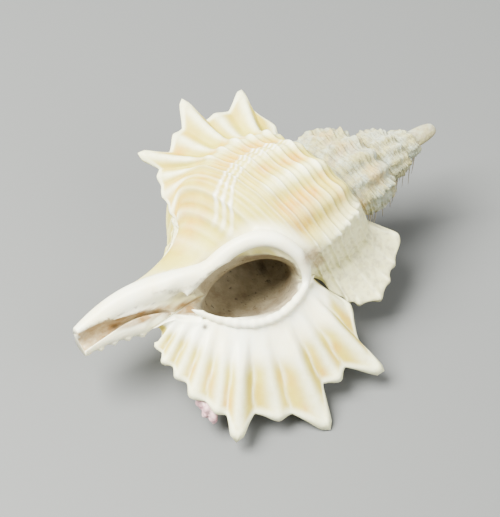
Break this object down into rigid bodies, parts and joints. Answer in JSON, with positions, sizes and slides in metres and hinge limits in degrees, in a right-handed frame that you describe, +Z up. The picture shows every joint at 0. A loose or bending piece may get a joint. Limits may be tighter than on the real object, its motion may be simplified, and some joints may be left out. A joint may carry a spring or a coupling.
{
  "type": "triton shell",
  "caption": "Maple-leaf triton: a flattened spiral sea shell with flat spiked wings at its sides, an oval aperture with a thick rim, an open canal and a worn pointed spire.",
  "frame": {"origin": "on the surface that the shell lies on, under the middle of its bounding box", "axes": "+Z up, out of the floor; +X to the right of the picture, towards the spire; +Y away from the camera"},
  "size_m": [0.0568, 0.0518, 0.0273],
  "materials": {
    "shell": "satin, partly glossy at the rim of the aperture"
  },
  "bodies": {
    "root": {"shell": "shell"}
  },
  "joints": []
}
